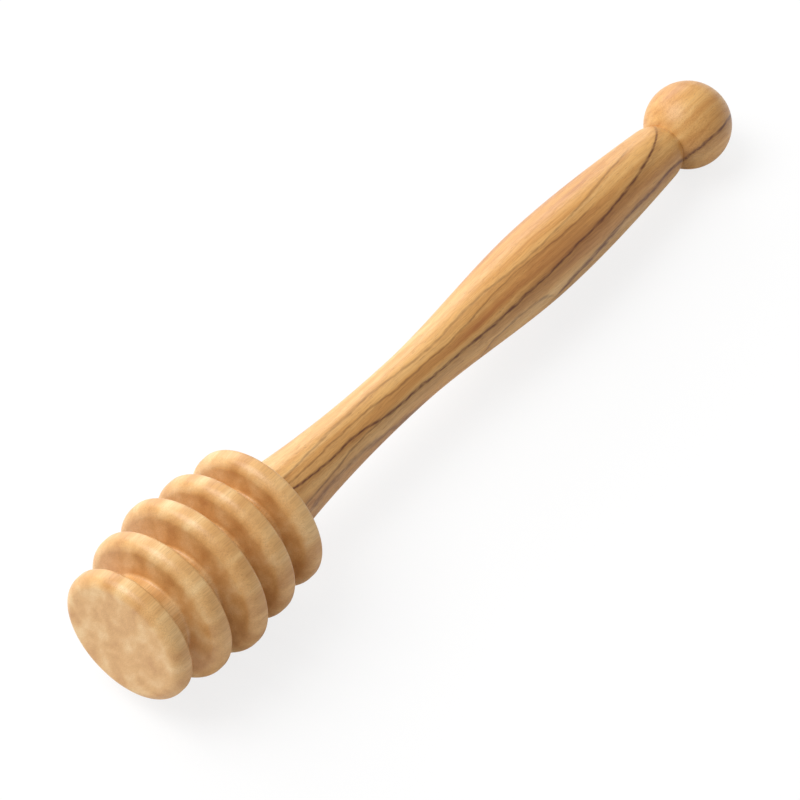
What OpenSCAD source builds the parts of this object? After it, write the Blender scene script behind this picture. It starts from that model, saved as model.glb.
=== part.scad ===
// Wooden honey dipper: a ribbed head, and a handle that is glued into it by a turned tenon.
// Both pieces are turned about the Z axis, from the front of the head (z = 0) to the knob,
// and are then laid down as the dipper rests on a table, with the knob towards +X.

/* [Head] */
// Radius of the first rib, at the end that goes into the honey
rib_1_r = 12.5; // [11:0.1:14]
// Radius of the second rib
rib_2_r = 14.1; // [12:0.1:16]
// Radius of the middle rib, the widest
rib_3_r = 15; // [13:0.1:18]
// Radius of the fourth rib
rib_4_r = 14.1; // [12:0.1:16]
// Radius of the last rib, next to the handle
rib_5_r = 13.3; // [11:0.1:15]
// Thickness of every rib
rib_t = 3.7; // [3.3:0.1:5]
// Width of the honey groove between two ribs
groove_w = 4.4; // [3:0.1:6]
// Radius of the core at the bottom of the grooves
core_r = 7.6; // [6.5:0.1:9]
// Round on the front corner of every rib's rim
rim_front_r = 2; // [0.6:0.1:2.2]
// Round on the back corner of every rib's rim
rim_back_r = 0.9; // [0.3:0.1:1]
// Fillet in the bottom corners of the grooves
groove_fillet = 0.6; // [0.2:0.1:1]

/* [Joint] */
// Radius of the tenon on the handle's foot
tenon_r = 4; // [3:0.1:5]
// Length of the tenon
tenon_l = 16; // [10:0.5:22]
// Chamfer on the tenon's tip
tenon_chamfer = 0.8; // [0.3:0.1:1.5]
// Thickness of the glue film around the tenon
glue_film = 0.1; // [0.05:0.01:0.2]
// Room for spare glue between the tenon's tip and the bottom of its bore
glue_well = 1.5; // [0.5:0.1:3]
// Countersink at the mouth of the bore
bore_mouth = 0.6; // [0.2:0.1:1]
// Angle of the drill point at the bottom of the bore
drill_point = 118; // [90:1:140]

/* [Handle] */
// Radius of the handle's foot, where it stands on the head
foot_r = 7.3; // [6.5:0.1:9]
// Slope of the foot's flare, from the axis
foot_slope = 8.5; // [0:0.5:20]
// Radius of the waist, the thinnest part
waist_r = 4.8; // [4:0.1:6]
// Distance from the foot to the waist
waist_at = 37.5; // [25:0.5:50]
// Radius of the swell that the hand holds
swell_r = 7.1; // [6:0.1:9]
// Distance from the foot to the middle of the swell
swell_at = 77.5; // [65:0.5:90]
// Radius of the handle's end, where it starts to round over
end_r = 5.4; // [5:0.1:6.5]
// Distance from the foot to where the end starts to round over
end_at = 109.5; // [100:0.5:120]
// Slope of the swell as it reaches that end
end_slope = 5; // [0:0.5:10]
// Length of the rounded end, down to the neck
end_l = 4.5; // [3:0.1:8]
// Radius of the neck in front of the knob
neck_r = 4; // [3:0.1:4.8]
// Slope at which the rounded end runs into the neck
neck_slope = 40; // [30:1:60]
// Radius of the round knob
knob_r = 8; // [6:0.1:10]

/* [Hidden] */
$fn = 96;
// Straight steps in each stretch of the handle's outline
CURVE_STEPS = 16;
// How far a cutter runs past the face that it opens
LAP = 0.01;

rib_r = [rib_1_r, rib_2_r, rib_3_r, rib_4_r, rib_5_r];
last_rib = len(rib_r) - 1;
rib_pitch = rib_t + groove_w;
head_l = last_rib * rib_pitch + rib_t;

bore_r = tenon_r + glue_film;
bore_l = tenon_l + glue_well;
drill_tip_l = bore_r / tan(drill_point / 2);

neck_at = end_at + end_l;
knob_z = head_l + neck_at + sqrt(knob_r * knob_r - neck_r * neck_r);

// The dipper lies on one rib and on the knob. Each rib has a tilt at which both would touch
// the table, the rib with its rim's back corner, and the dipper rests at the largest of them.
function corner_z(i) = i * rib_pitch + rib_t - rim_back_r;
function rest_tilt_on(i) =
    let (across = rib_r[i] - rim_back_r, along = knob_z - corner_z(i))
    acos((knob_r - rim_back_r) / norm([across, along])) - atan2(along, across);
rest_tilt = max([for (i = [0:last_rib]) rest_tilt_on(i)]);

// Height of the axis at the front of the head, and the dipper's ends along the table
front_h = knob_z * sin(rest_tilt) + knob_r;
front_x = rim_front_r * (cos(rest_tilt) - 1) - (rib_1_r - rim_front_r) * sin(rest_tilt);
back_x = knob_z * cos(rest_tilt) + knob_r;

module laid_down() {
    translate([-(front_x + back_x) / 2, 0, front_h])
        rotate([0, 90 + rest_tilt, 0])
            children();
}

// One rib from its front face: a flat disc with a rim that is round at both corners.
module rib_outline(r) {
    square([r - rim_front_r, rib_t]);
    translate([0, rim_front_r]) square([r - rim_back_r, rib_t - rim_front_r]);
    translate([0, rim_front_r]) square([r, rib_t - rim_front_r - rim_back_r]);
    translate([r - rim_front_r, rim_front_r]) circle(rim_front_r);
    translate([r - rim_back_r, rib_t - rim_back_r]) circle(rim_back_r);
}

// The core across one groove, with a fillet against the rib on either side.
module groove_outline() {
    difference() {
        square([core_r + groove_fillet, groove_w]);
        translate([core_r, groove_fillet])
            square([2 * groove_fillet, groove_w - 2 * groove_fillet]);
        for (z = [groove_fillet, groove_w - groove_fillet])
            translate([core_r + groove_fillet, z]) circle(groove_fillet);
    }
}

module ribs_and_core() {
    rotate_extrude()
        for (i = [0:last_rib])
            translate([0, i * rib_pitch]) {
                rib_outline(rib_r[i]);
                if (i < last_rib) translate([0, rib_t]) groove_outline();
            }
}

// The drilled hole for the tenon, with its drill point and a countersunk mouth.
module tenon_bore() {
    translate([0, 0, head_l])
        rotate_extrude()
            polygon([
                [0, -bore_l - drill_tip_l],
                [bore_r, -bore_l],
                [bore_r, -bore_mouth],
                [bore_r + bore_mouth + LAP, LAP],
                [0, LAP]
            ]);
}

module head() {
    color("burlywood")
        laid_down()
            difference() {
                ribs_and_core();
                tenon_bore();
            }
}

// The handle's outlines are points of [radius, distance from the foot]. This is a surface's
// direction there, closing in on the axis at a slope.
function inward(slope) = [-tan(slope), 1];

// A smooth curve after p, up to q, that leaves and arrives at the two slopes.
function curve(p, p_slope, q, q_slope) =
    let (
        reach = (q[1] - p[1]) / 3,
        a = p + reach * inward(p_slope),
        b = q - reach * inward(q_slope)
    )
    [
        for (k = [1:CURVE_STEPS])
            let (t = k / CURVE_STEPS, u = 1 - t)
            u * u * u * p + 3 * u * u * t * a + 3 * u * t * t * b + t * t * t * q
    ];

function handle_outline() =
    let (
        foot = [foot_r, 0],
        waist = [waist_r, waist_at],
        swell = [swell_r, swell_at],
        end = [end_r, end_at],
        neck = [neck_r, neck_at]
    )
    concat(
        [
            [0, -tenon_l],
            [tenon_r - tenon_chamfer, -tenon_l],
            [tenon_r, tenon_chamfer - tenon_l],
            [tenon_r, 0],
            foot
        ],
        curve(foot, foot_slope, waist, 0),
        curve(waist, 0, swell, 0),
        curve(swell, 0, end, end_slope),
        curve(end, end_slope, neck, neck_slope),
        [[0, neck_at]]
    );

module handle() {
    color("peru")
        laid_down() {
            translate([0, 0, head_l]) rotate_extrude() polygon(handle_outline());
            translate([0, 0, knob_z]) sphere(knob_r);
        }
}

head();
handle();
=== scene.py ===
import bpy
import math
from mathutils import Matrix, Vector


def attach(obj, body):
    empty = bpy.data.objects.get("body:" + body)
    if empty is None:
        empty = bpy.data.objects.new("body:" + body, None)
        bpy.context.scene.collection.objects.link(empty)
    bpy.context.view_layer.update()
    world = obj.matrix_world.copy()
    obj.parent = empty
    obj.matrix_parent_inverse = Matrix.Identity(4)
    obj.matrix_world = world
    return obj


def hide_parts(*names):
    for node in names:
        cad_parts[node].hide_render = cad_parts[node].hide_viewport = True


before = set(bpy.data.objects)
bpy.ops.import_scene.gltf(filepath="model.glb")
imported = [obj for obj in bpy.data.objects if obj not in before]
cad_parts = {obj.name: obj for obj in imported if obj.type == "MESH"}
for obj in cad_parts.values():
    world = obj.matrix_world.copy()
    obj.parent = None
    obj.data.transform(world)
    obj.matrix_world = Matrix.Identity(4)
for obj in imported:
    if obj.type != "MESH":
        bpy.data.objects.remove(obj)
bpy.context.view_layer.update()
bpy.ops.object.select_all(action="DESELECT")

MM = 0.001

# Sizes of the dipper in mm, and slopes in degrees, as in the frame
RIB_R = (12.5, 14.1, 15.0, 14.1, 13.3)
RIB_T, GROOVE_W, CORE_R = 3.7, 4.4, 7.6
RIM_FRONT_R, RIM_BACK_R, GROOVE_FILLET = 2.0, 0.9, 0.6
TENON_R, TENON_L, TENON_CHAMFER = 4.0, 16.0, 0.8
GLUE_FILM, GLUE_WELL, BORE_MOUTH = 0.1, 1.5, 0.6
DRILL_HALF_ANGLE = math.radians(59)
FOOT_R, FOOT_SLOPE = 7.3, 8.5
WAIST_R, WAIST_AT = 4.8, 37.5
SWELL_R, SWELL_AT = 7.1, 77.5
END_R, END_AT, END_SLOPE, END_L = 5.4, 109.5, 5.0, 4.5
NECK_R, NECK_SLOPE, KNOB_R = 4.0, 40.0, 8.0

# What follows from them. A name with _AT is a place along the axis from the head's back, KNOB_SET is
# the knob's centre beyond the neck, and KNOB_S is the knob's centre from the head's front
RIB_PITCH = RIB_T + GROOVE_W
HEAD_L = 4 * RIB_PITCH + RIB_T
NECK_AT = END_AT + END_L
KNOB_SET = math.sqrt(KNOB_R**2 - NECK_R**2)
KNOB_AT = NECK_AT + KNOB_SET
KNOB_S = HEAD_L + KNOB_AT

# How finely the outlines are drawn and spun
ROUND_STEPS = 176
FILLET_STEPS, RIM_FRONT_STEPS, RIM_BACK_STEPS = 4, 12, 8
WAIST_STEPS, SWELL_STEPS, END_STEPS, NECK_STEPS, KNOB_STEPS = 24, 24, 20, 14, 44
FACE_RING = 0.45  # share of the front rib's radius at which its flat face has a ring of edges
SMOOTH_ANGLE = math.radians(32)
MERGE_DISTANCE = 0.001 * MM

# Dark veins of the handle, each a thin sheet that runs along it through the wood: its points as
# (distance from the head's front, offset across the dipper), its half width, how dark it is from
# 0 to 1, and where along the dipper it starts and stops. Lengths are in mm
VEINS = (
    (
        (
            (36, -1.5), (48, -2.2), (63, -2.5), (76, -1.6),
            (93, -2.4), (107, -1.7), (118, -2.4), (136, -3.6),
        ),
        0.42,
        0.55,
        (36, 140),
    ),
    (
        (
            (36, -0.6), (50, -0.7), (59, -1.0), (70, 0.1),
            (88, -0.3), (100, -1.1), (117, -0.7), (128, -1.2),
        ),
        0.34,
        0.6,
        (36, 124),
    ),
    (
        (
            (36, -0.2), (49, 1.3), (57, 1.1), (66, 2.2), (83, 2.6),
            (109, 2.9), (122, 2.1), (138, 0.4), (147, -2.6),
        ),
        0.5,
        1.0,
        (36, 149),
    ),
    (((36, 4.3), (47, 3.5), (61, 2.1), (70, 2.4)), 0.36, 0.7, (36, 68)),
    (((40, 5.2), (56, 3.9), (67, 4.6), (78, 5.4)), 0.6, 0.7, (40, 76)),
    (((88, 6.0), (94, 4.6), (102, 4.8), (108, 6.2)), 0.34, 0.6, (88, 108)),
    (
        ((108, 6.4), (124, 5.3), (137, 4.4), (146, 3.9), (155, 4.5), (165, 3.0)),
        0.55,
        0.95,
        (108, 168),
    ),
)
VEIN_BROWN = (104, 56, 26)
HALO_WIDTH, HALO_DARKNESS = 3.2, 0.32  # a vein's soft side, as shares of its own
VEIN_FADE_IN, VEIN_FADE_OUT, VEIN_FADE_PAST = 0.02, 0.03, 0.02  # shares of ALONG_SPAN
BREAKS_SIZE, BREAKS_SHIFT = (0.5, 3.0, 3.0), (9, 4, 2)
BREAKS_RANGE, BREAKS_LEAST = (0.3, 0.6), 0.6

# The stretch of wood that the veins' curves are drawn on, in mm
ALONG_FROM, ALONG_SPAN = 30.0, 140.0
ACROSS_FROM, ACROSS_SPAN = -10.0, 20.0

# Figure of the two woods. A pattern's size is its steps per mm along, across and facing, so a small
# first number draws it out along the grain. A bend is a size, a shift and its full reach in mm.
# Colours are screen values from 0 to 255, each after its place on the pattern
HANDLE_BENDS = (
    ((0.045, 0.14, 0.14), (0, 0, 0), 1.6),
    ((0.35, 0.7, 0.7), (5, 2, 1), 0.5),
)
HANDLE_BANDS_SIZE, HANDLE_BANDS_ROUGHNESS = (0.012, 0.55, 0.16), 0.55
HANDLE_COLORS = (
    (0.28, (176, 112, 56)),
    (0.45, (206, 150, 82)),
    (0.6, (220, 170, 102)),
    (0.78, (232, 192, 132)),
)
HEAD_BENDS = (((0.03, 0.1, 0.1), (2, 8, 3), 3.0),)
HEAD_BANDS_SIZE, HEAD_BANDS_SHIFT, HEAD_BANDS_ROUGHNESS = (0.02, 0.3, 0.2), (1, 6, 4), 0.5
HEAD_COLORS = ((0.3, (200, 146, 84)), (0.5, (220, 172, 110)), (0.7, (234, 198, 142)))
BANDS_DETAIL = 3

# Fibres, pores and satin finish that both pieces share
FIBRE_SIZE, FIBRE_DETAIL, FIBRE_ROUGHNESS = (0.10, 5.5, 5.5), 3, 0.6
FIBRE_BROWN, FIBRE_RANGE, FIBRE_MOST = (150, 92, 44), (0.35, 0.7), 0.22
PORE_SIZE, PORE_SHIFT, PORE_DETAIL = (0.55, 9.0, 9.0), (3, 1, 7), 1
PORE_BROWN, PORE_RANGE, PORE_MOST, PORE_DEPTH = (120, 66, 28), (0.64, 0.74), 0.35, 0.8
SATIN_RANGE, SATIN_ROUGHNESS = (0.3, 0.7), (0.36, 0.5)
SPECULAR, COAT, COAT_ROUGHNESS = 0.45, 0.12, 0.28
BUMP_STRENGTH, BUMP_HEIGHT = 0.35, 0.06 * MM

# The studio, in metres and watts. A softbox is a name, a place, a size and a power
PAPER_SIZE, PAPER_WHITE, PAPER_ROUGHNESS = 6.0, 0.86, 0.9
PAPER_GLOW, PAPER_GLOW_SHARE = 1.0, 0.8
ROOM_LIGHT, ROOM_WHITE = 0.42, 1.0
SOFTBOXES = (
    ("softbox_high", (-0.30, 0.42, 0.80), (0.7, 0.7), 9.0),
    ("softbox_behind", (0.35, 0.75, 0.32), (0.9, 0.35), 4.0),
)
LAMP_TARGET = Vector((0, 0, 0.01))
CAMERA_PLACE = (-0.411305, -0.317003, 0.613964)
CAMERA_YAW, CAMERA_DOWN = math.radians(38.2455), math.radians(49.7540)
CAMERA_LENS_MM, CAMERA_SENSOR_MM, CAMERA_CLIP = 208.58, 36.0, (0.01, 20.0)


# Where the dipper lies
def rest_tilt():
    """The dipper's tilt on the table, where it lies on a rib's back corner and the knob."""
    tilts = []
    for i, r in enumerate(RIB_R):
        across = r - RIM_BACK_R
        along = KNOB_S - (i * RIB_PITCH + RIB_T - RIM_BACK_R)
        reach = math.hypot(across, along)
        tilts.append(math.acos((KNOB_R - RIM_BACK_R) / reach) - math.atan2(along, across))
    return max(tilts)


TILT = rest_tilt()
AXIS = Vector((math.cos(TILT), 0, -math.sin(TILT)))
FRONT_X = RIM_FRONT_R * (math.cos(TILT) - 1) - (RIB_R[0] - RIM_FRONT_R) * math.sin(TILT)
BACK_X = KNOB_S * math.cos(TILT) + KNOB_R
FRONT = Vector((-(FRONT_X + BACK_X) / 2, 0, KNOB_S * math.sin(TILT) + KNOB_R))
LAY_DOWN = Matrix.Translation(FRONT * MM) @ Matrix.Rotation(math.pi / 2 + TILT, 4, "Y")

# The direction across the dipper as the camera sees it, square to AXIS, and the one that faces the
# camera's side
ACROSS = Vector((-0.0242, -0.8782, -0.4777))
FACING = ACROSS.cross(AXIS)


# The turned outlines, as points of (distance from the axis, distance along it)
def arc(cx, cz, r, start, stop, steps):
    """Points on an arc, by angles in degrees."""
    return [
        (
            cx + r * math.cos(math.radians(start + (stop - start) * k / steps)),
            cz + r * math.sin(math.radians(start + (stop - start) * k / steps)),
        )
        for k in range(steps + 1)
    ]


def smooth_run(p, p_slope, q, q_slope, steps):
    """A smooth curve after p, up to q, that closes in on the axis at the two slopes."""
    reach = (q[1] - p[1]) / 3
    a = (p[0] - reach * math.tan(math.radians(p_slope)), p[1] + reach)
    b = (q[0] + reach * math.tan(math.radians(q_slope)), q[1] - reach)
    points = []
    for k in range(1, steps + 1):
        t = k / steps
        w = ((1 - t) ** 3, 3 * (1 - t) ** 2 * t, 3 * (1 - t) * t * t, t**3)
        points.append(tuple(sum(c * v[i] for c, v in zip(w, (p, a, b, q))) for i in (0, 1)))
    return points


def head_outline():
    points = [(0.0, 0.0), (RIB_R[0] * FACE_RING, 0.0)]
    fillet_at = CORE_R + GROOVE_FILLET
    for i, r in enumerate(RIB_R):
        front = i * RIB_PITCH
        back = front + RIB_T
        if i:
            points += arc(fillet_at, front - GROOVE_FILLET, GROOVE_FILLET, 180, 90, FILLET_STEPS)
        points += arc(r - RIM_FRONT_R, front + RIM_FRONT_R, RIM_FRONT_R, -90, 0, RIM_FRONT_STEPS)
        points += arc(r - RIM_BACK_R, back - RIM_BACK_R, RIM_BACK_R, 0, 90, RIM_BACK_STEPS)
        if i < len(RIB_R) - 1:
            points += arc(fillet_at, back + GROOVE_FILLET, GROOVE_FILLET, -90, -180, FILLET_STEPS)
    bore_r = TENON_R + GLUE_FILM
    bottom = HEAD_L - TENON_L - GLUE_WELL
    points += [
        (bore_r + BORE_MOUTH, HEAD_L),
        (bore_r, HEAD_L - BORE_MOUTH),
        (bore_r, bottom),
        (0.0, bottom - bore_r / math.tan(DRILL_HALF_ANGLE)),
    ]
    return points


def handle_outline():
    foot, waist = (FOOT_R, HEAD_L), (WAIST_R, HEAD_L + WAIST_AT)
    swell, end = (SWELL_R, HEAD_L + SWELL_AT), (END_R, HEAD_L + END_AT)
    neck = (NECK_R, HEAD_L + NECK_AT)
    points = [
        (0.0, HEAD_L - TENON_L),
        (TENON_R - TENON_CHAMFER, HEAD_L - TENON_L),
        (TENON_R, HEAD_L - TENON_L + TENON_CHAMFER),
        (TENON_R, HEAD_L),
        foot,
    ]
    points += smooth_run(foot, FOOT_SLOPE, waist, 0, WAIST_STEPS)
    points += smooth_run(waist, 0, swell, 0, SWELL_STEPS)
    points += smooth_run(swell, 0, end, END_SLOPE, END_STEPS)
    points += smooth_run(end, END_SLOPE, neck, NECK_SLOPE, NECK_STEPS)
    knob_start = math.degrees(math.asin(-KNOB_SET / KNOB_R))
    points += arc(0.0, KNOB_S, KNOB_R, knob_start, 90, KNOB_STEPS)[1:-1]
    return points + [(0.0, KNOB_S + KNOB_R)]


def turned(name, outline):
    """Turns an outline about the axis: its points are drawn one by one and then spun round."""
    bpy.ops.mesh.primitive_plane_add(size=MM)
    piece = bpy.context.object
    piece.name = piece.data.name = name
    bpy.ops.object.mode_set(mode="EDIT")
    bpy.ops.mesh.merge(type="CENTER")
    r, z = outline[0]
    bpy.ops.transform.translate(value=(r * MM, 0, z * MM))
    for (r0, z0), (r1, z1) in zip(outline, outline[1:]):
        step = ((r1 - r0) * MM, 0, (z1 - z0) * MM)
        bpy.ops.mesh.extrude_vertices_move(TRANSFORM_OT_translate={"value": step})
    bpy.ops.mesh.select_all(action="SELECT")
    bpy.ops.mesh.spin(
        steps=ROUND_STEPS, angle=2 * math.pi, center=(0, 0, 0), axis=(0, 0, 1), use_auto_merge=True
    )
    bpy.ops.mesh.select_all(action="SELECT")
    bpy.ops.mesh.remove_doubles(threshold=MERGE_DISTANCE)
    bpy.ops.mesh.normals_make_consistent(inside=False)
    bpy.ops.object.mode_set(mode="OBJECT")
    piece.matrix_world = LAY_DOWN
    bpy.ops.object.transform_apply(location=True, rotation=True, scale=True)
    bpy.ops.object.shade_smooth_by_angle(angle=SMOOTH_ANGLE)
    piece.select_set(False)
    return piece


class Tree:
    """A short way to write a material's nodes."""

    def __init__(self, name):
        self.material = bpy.data.materials.new(name)
        self.material.use_nodes = True
        self.nodes = self.material.node_tree.nodes
        self.links = self.material.node_tree.links
        self.shader = self.nodes["Principled BSDF"]

    def put(self, socket, value):
        if isinstance(value, bpy.types.NodeSocket):
            self.links.new(value, socket)
        else:
            socket.default_value = value

    def math(self, operation, *values, clamp=False):
        node = self.nodes.new("ShaderNodeMath")
        node.operation, node.use_clamp = operation, clamp
        for socket, value in zip(node.inputs, values):
            self.put(socket, value)
        return node.outputs[0]

    def dot(self, vector, direction):
        node = self.nodes.new("ShaderNodeVectorMath")
        node.operation = "DOT_PRODUCT"
        self.put(node.inputs[0], vector)
        node.inputs[1].default_value = direction
        return node.outputs["Value"]

    def combine(self, *values):
        node = self.nodes.new("ShaderNodeCombineXYZ")
        for socket, value in zip(node.inputs, values):
            self.put(socket, value)
        return node.outputs[0]

    def noise(self, vector, size, shift=(0, 0, 0), detail=2, roughness=0.5):
        """A cloudy pattern with its size in each direction."""
        stretch = self.nodes.new("ShaderNodeMapping")
        self.put(stretch.inputs["Vector"], vector)
        stretch.inputs["Scale"].default_value = size
        stretch.inputs["Location"].default_value = shift
        node = self.nodes.new("ShaderNodeTexNoise")
        self.put(node.inputs["Vector"], stretch.outputs[0])
        node.inputs["Scale"].default_value = 1.0
        node.inputs["Detail"].default_value = detail
        node.inputs["Roughness"].default_value = roughness
        return node.outputs["Fac"]

    def remap(self, value, low, high, to_low=0.0, to_high=1.0):
        node = self.nodes.new("ShaderNodeMapRange")
        node.interpolation_type = "SMOOTHSTEP"
        self.put(node.inputs["Value"], value)
        for key, number in (
            ("From Min", low),
            ("From Max", high),
            ("To Min", to_low),
            ("To Max", to_high),
        ):
            node.inputs[key].default_value = number
        return node.outputs["Result"]

    def curve(self, value, points):
        """A curve drawn through the given points, on a 0 to 1 square."""
        node = self.nodes.new("ShaderNodeFloatCurve")
        drawn = node.mapping.curves[0]
        while len(drawn.points) < len(points):
            drawn.points.new(0.5, 0.5)
        for point, place in zip(drawn.points, points):
            point.location = place
        node.mapping.update()
        self.put(node.inputs["Value"], value)
        return node.outputs[0]

    def ramp(self, value, stops):
        node = self.nodes.new("ShaderNodeValToRGB")
        elements = node.color_ramp.elements
        while len(elements) < len(stops):
            elements.new(0.5)
        for element, (place, color) in zip(elements, stops):
            element.position = place
            element.color = rgba(color)
        self.put(node.inputs[0], value)
        return node.outputs["Color"]

    def mix(self, amount, low, high, blend="MIX"):
        node = self.nodes.new("ShaderNodeMix")
        node.data_type, node.blend_type = "RGBA", blend
        self.put(node.inputs[0], amount)
        self.put(node.inputs[6], low)
        self.put(node.inputs[7], high)
        return node.outputs[2]

    def bump(self, height, strength, distance):
        node = self.nodes.new("ShaderNodeBump")
        node.inputs["Strength"].default_value = strength
        node.inputs["Distance"].default_value = distance
        self.put(node.inputs["Height"], height)
        return node.outputs["Normal"]


def linear(value):
    """A screen value from 0 to 255 as the light it stands for, from 0 to 1."""
    share = value / 255
    return share / 12.92 if share <= 0.04045 else ((share + 0.055) / 1.055) ** 2.4


def rgba(color):
    return (*(linear(value) for value in color), 1)


# The wood
def own_places(tree):
    """The surface's place in the dipper: along its axis, across the picture and facing, in mm."""
    place = tree.nodes.new("ShaderNodeTexCoord").outputs["Object"]
    return [
        tree.math("SUBTRACT", tree.dot(place, direction / MM), FRONT.dot(direction))
        for direction in (AXIS, ACROSS, FACING)
    ]


def bent_grain(tree, bends):
    """Places that follow the grain as it wanders across: along, across, and all three together."""
    along, across, facing = own_places(tree)
    whole = tree.combine(along, across, facing)
    for size, shift, reach in bends:
        push = tree.math("SUBTRACT", tree.noise(whole, size, shift), 0.5)
        across = tree.math("MULTIPLY_ADD", push, reach, across)
    return along, across, tree.combine(along, across, facing)


def along_share(place):
    return (place - ALONG_FROM) / ALONG_SPAN


def vein(tree, share, across, points, width, darkness, reach):
    """A dark line with one soft side, where the surface cuts through the vein's sheet."""
    drawn = [(along_share(s), (q - ACROSS_FROM) / ACROSS_SPAN) for s, q in points]
    centre = tree.math("MULTIPLY_ADD", tree.curve(share, drawn), ACROSS_SPAN, ACROSS_FROM)
    off = tree.math("SUBTRACT", across, centre)
    line = tree.remap(tree.math("ABSOLUTE", off), 0.0, width, darkness, 0.0)
    off_halo = tree.math("ABSOLUTE", tree.math("ADD", off, -width))
    halo = tree.remap(off_halo, 0.0, HALO_WIDTH * width, HALO_DARKNESS * darkness, 0.0)
    both = tree.math("MAXIMUM", line, halo)
    start, stop = (along_share(place) for place in reach)
    fade_in = tree.remap(share, start - VEIN_FADE_IN, start + VEIN_FADE_IN)
    fade_out = tree.remap(share, stop - VEIN_FADE_OUT, stop + VEIN_FADE_PAST, 1.0, 0.0)
    return tree.math("MULTIPLY", both, tree.math("MULTIPLY", fade_in, fade_out))


def wood_surface(tree, grain, color):
    """Fibres, pores, finish and bump that both pieces share."""
    fibres = tree.noise(grain, FIBRE_SIZE, detail=FIBRE_DETAIL, roughness=FIBRE_ROUGHNESS)
    fibre = tree.remap(fibres, *FIBRE_RANGE, 0.0, FIBRE_MOST)
    color = tree.mix(fibre, color, rgba(FIBRE_BROWN), "MULTIPLY")
    pores = tree.noise(grain, PORE_SIZE, PORE_SHIFT, detail=PORE_DETAIL)
    pore = tree.remap(pores, *PORE_RANGE)
    color = tree.mix(tree.math("MULTIPLY", pore, PORE_MOST), color, rgba(PORE_BROWN))
    shader = tree.shader
    tree.put(shader.inputs["Base Color"], color)
    tree.put(shader.inputs["Roughness"], tree.remap(fibres, *SATIN_RANGE, *SATIN_ROUGHNESS))
    shader.inputs["Specular IOR Level"].default_value = SPECULAR
    shader.inputs["Coat Weight"].default_value = COAT
    shader.inputs["Coat Roughness"].default_value = COAT_ROUGHNESS
    height = tree.math("SUBTRACT", fibres, tree.math("MULTIPLY", pore, PORE_DEPTH))
    tree.put(shader.inputs["Normal"], tree.bump(height, BUMP_STRENGTH, BUMP_HEIGHT))
    return tree.material


def handle_wood():
    tree = Tree("olive_wood_handle")
    along, across, grain = bent_grain(tree, HANDLE_BENDS)
    bands = tree.noise(
        grain, HANDLE_BANDS_SIZE, detail=BANDS_DETAIL, roughness=HANDLE_BANDS_ROUGHNESS
    )
    color = tree.ramp(bands, HANDLE_COLORS)
    share = tree.math("DIVIDE", tree.math("SUBTRACT", along, ALONG_FROM), ALONG_SPAN)
    veins = None
    for points, width, darkness, reach in VEINS:
        one = vein(tree, share, across, points, width, darkness, reach)
        veins = one if veins is None else tree.math("MAXIMUM", veins, one)
    breaks = tree.noise(grain, BREAKS_SIZE, BREAKS_SHIFT)
    broken = tree.remap(breaks, *BREAKS_RANGE, BREAKS_LEAST, 1.0)
    dark = tree.math("MULTIPLY", veins, broken, clamp=True)
    color = tree.mix(dark, color, rgba(VEIN_BROWN))
    return wood_surface(tree, grain, color)


def head_wood():
    tree = Tree("olive_wood_head")
    grain = bent_grain(tree, HEAD_BENDS)[2]
    bands = tree.noise(
        grain,
        HEAD_BANDS_SIZE,
        HEAD_BANDS_SHIFT,
        detail=BANDS_DETAIL,
        roughness=HEAD_BANDS_ROUGHNESS,
    )
    return wood_surface(tree, grain, tree.ramp(bands, HEAD_COLORS))


# The studio
def floor_paper():
    """A white sheet that the camera sees nearly white, with the dipper's shadow soft on it."""
    bpy.ops.mesh.primitive_plane_add(size=PAPER_SIZE, location=(0, 0, 0))
    floor = bpy.context.object
    floor.name = "white_table"
    tree = Tree("white_paper")
    tree.shader.inputs["Base Color"].default_value = (PAPER_WHITE, PAPER_WHITE, PAPER_WHITE, 1)
    tree.shader.inputs["Roughness"].default_value = PAPER_ROUGHNESS
    glow = tree.nodes.new("ShaderNodeEmission")
    glow.inputs["Strength"].default_value = PAPER_GLOW
    light_path = tree.nodes.new("ShaderNodeLightPath")
    seen = tree.math("MULTIPLY", light_path.outputs["Is Camera Ray"], PAPER_GLOW_SHARE)
    blend = tree.nodes.new("ShaderNodeMixShader")
    tree.put(blend.inputs[0], seen)
    tree.put(blend.inputs[1], tree.shader.outputs[0])
    tree.put(blend.inputs[2], glow.outputs[0])
    tree.put(tree.nodes["Material Output"].inputs["Surface"], blend.outputs[0])
    floor.data.materials.append(tree.material)
    floor.select_set(False)


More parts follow.
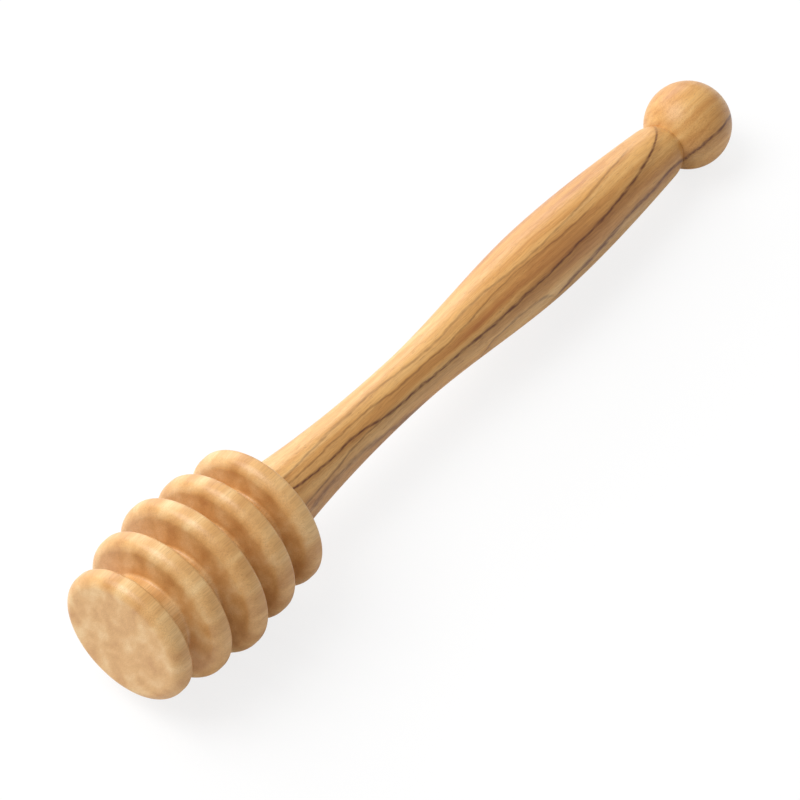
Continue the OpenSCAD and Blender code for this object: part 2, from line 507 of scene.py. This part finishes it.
def sky():
    """A room that is white to look at and lights the dipper from all round at a plain level."""
    world = bpy.data.worlds.new("studio_white")
    bpy.context.scene.world = world
    world.use_nodes = True
    nodes, links = world.node_tree.nodes, world.node_tree.links
    background = nodes["Background"]
    background.inputs["Color"].default_value = (1, 1, 1, 1)
    path = nodes.new("ShaderNodeLightPath")
    seen = nodes.new("ShaderNodeMath")
    seen.operation, seen.use_clamp = "ADD", True
    links.new(path.outputs["Is Camera Ray"], seen.inputs[0])
    links.new(path.outputs["Is Transmission Ray"], seen.inputs[1])
    level = nodes.new("ShaderNodeMapRange")
    level.inputs["To Min"].default_value = ROOM_LIGHT
    level.inputs["To Max"].default_value = ROOM_WHITE
    links.new(seen.outputs[0], level.inputs["Value"])
    links.new(level.outputs["Result"], background.inputs["Strength"])


def softbox(name, place, size, power):
    data = bpy.data.lights.new(name, "AREA")
    data.shape = "RECTANGLE"
    data.size, data.size_y = size
    data.energy = power
    lamp = bpy.data.objects.new(name, data)
    bpy.context.scene.collection.objects.link(lamp)
    lamp.location = place
    aim = LAMP_TARGET - Vector(place)
    lamp.rotation_euler = aim.to_track_quat("-Z", "Y").to_euler()


def camera():
    data = bpy.data.cameras.new("camera")
    data.sensor_width = CAMERA_SENSOR_MM
    data.lens = CAMERA_LENS_MM
    data.clip_start, data.clip_end = CAMERA_CLIP
    view = bpy.data.objects.new("camera", data)
    bpy.context.scene.collection.objects.link(view)
    view.location = CAMERA_PLACE
    level = math.cos(CAMERA_DOWN)
    aim = Vector(
        (math.cos(CAMERA_YAW) * level, math.sin(CAMERA_YAW) * level, -math.sin(CAMERA_DOWN))
    )
    view.rotation_euler = aim.to_track_quat("-Z", "Y").to_euler()
    bpy.context.scene.camera = view


def studio():
    bpy.context.scene.view_settings.view_transform = "Standard"
    floor_paper()
    sky()
    for box in SOFTBOXES:
        softbox(*box)
    camera()


# The dipper
def dipper():
    for name, outline, finish in (
        ("head", head_outline(), head_wood()),
        ("handle", handle_outline(), handle_wood()),
    ):
        piece = turned("turned_" + name, outline)
        piece.data.materials.append(finish)
        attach(piece, "root")
        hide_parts(name)


studio()
dipper()
